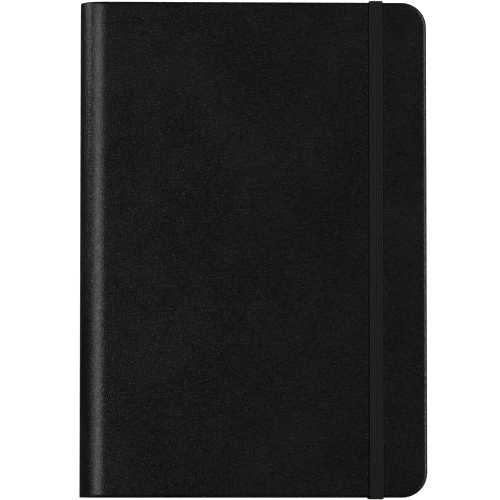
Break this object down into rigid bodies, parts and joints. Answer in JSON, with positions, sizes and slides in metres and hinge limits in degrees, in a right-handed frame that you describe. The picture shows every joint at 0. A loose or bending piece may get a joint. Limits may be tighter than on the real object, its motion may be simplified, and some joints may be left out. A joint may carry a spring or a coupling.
{
  "type": "pocket notebook",
  "caption": "Hard-cover pocket notebook with a black leatherette case, sewn page block and elastic closure band; opens flat at the middle.",
  "frame": {"origin": "centre of the footprint, on the outer face of the back cover", "axes": "+Y to the head of the notebook, +X from the spine to the fore edge, +Z from the back cover to the front cover"},
  "size_m": [0.1036, 0.149, 0.0155],
  "materials": {
    "leatherette": "black fine-grained leatherette, satin",
    "greyboard": "grey binder's board",
    "spine_liner": "stiff kraft paper",
    "endpaper": "uncoated ivory endpaper",
    "page_paper": "uncoated ivory writing paper",
    "mull": "open-weave cotton",
    "end_band": "woven cotton bead",
    "thread": "waxed linen thread",
    "elastic": "black ribbed woven elastic"
  },
  "bodies": {
    "back_cover": {"back_board": "greyboard", "back_cover_leather": "leatherette", "back_pastedown": "endpaper"},
    "rear_pages": {"back_flyleaf": "endpaper", "signature_07": "page_paper", "signature_08": "page_paper", "signature_09": "page_paper", "signature_10": "page_paper", "signature_11": "page_paper", "signature_12": "page_paper", "sewing_thread_rear": "thread", "spine_mull": "mull", "head_band": "end_band", "tail_band": "end_band"},
    "front_pages": {"front_flyleaf": "endpaper", "signature_01": "page_paper", "signature_02": "page_paper", "signature_03": "page_paper", "signature_04": "page_paper", "signature_05": "page_paper", "signature_06": "page_paper", "sewing_thread_front": "thread"},
    "turning_leaf_a": {"turning_leaf_a": "page_paper"},
    "turning_leaf_b": {"turning_leaf_b": "page_paper"},
    "spine": {"spine_leather": "leatherette", "spine_liner": "spine_liner"},
    "front_cover": {"front_board": "greyboard", "front_cover_leather": "leatherette", "front_pastedown": "endpaper"},
    "elastic": {"elastic_band": "elastic"}
  },
  "joints": [
    {"name": "notebook_opening", "type": "hinge", "parent": "rear_pages", "child": "front_pages", "pos_m": [-0.0484, 0, 0.0075], "axis": [0, -1, 0], "range_deg": [0, 180], "deforming": ["spine_mull", "head_band", "tail_band"]},
    {"name": "rear_block_shift", "type": "slide", "parent": "back_cover", "child": "rear_pages", "axis": [-1, 0, 0], "range_m": [0, 0.00421]},
    {"name": "turning_leaf_a_turn", "type": "hinge", "parent": "rear_pages", "child": "turning_leaf_a", "pos_m": [-0.0484, 0, 0.0075], "axis": [0, -1, 0], "range_deg": [0, 150]},
    {"name": "turning_leaf_b_turn", "type": "hinge", "parent": "rear_pages", "child": "turning_leaf_b", "pos_m": [-0.0484, 0, 0.0075], "axis": [0, -1, 0], "range_deg": [0, 28]},
    {"name": "spine_hinge", "type": "hinge", "parent": "back_cover", "child": "spine", "pos_m": [-0.0485, 0, 0.002], "axis": [0, -1, 0], "range_deg": [0, 90], "deforming": ["spine_leather", "spine_liner"]},
    {"name": "front_cover_hinge", "type": "hinge", "parent": "spine", "child": "front_cover", "pos_m": [-0.0485, 0, 0.013], "axis": [0, -1, 0], "range_deg": [0, 90]},
    {"name": "elastic_release", "type": "hinge", "parent": "back_cover", "child": "elastic", "pos_m": [0.03655, 0, 0.002], "axis": [0, 1, 0], "range_deg": [0, 180], "deforming": ["elastic_band"]}
  ],
  "couplings": [
    {"joint": "rear_block_shift", "follows": "notebook_opening", "m_per_rad": 0.0013369},
    {"joint": "turning_leaf_a_turn", "follows": "notebook_opening", "ratio": 0.8333},
    {"joint": "turning_leaf_b_turn", "follows": "notebook_opening", "ratio": 0.1555},
    {"joint": "spine_hinge", "follows": "notebook_opening", "ratio": 0.5},
    {"joint": "front_cover_hinge", "follows": "notebook_opening", "ratio": 0.5},
    {"joint": "elastic_release", "follows": "notebook_opening", "ratio": 1}
  ]
}
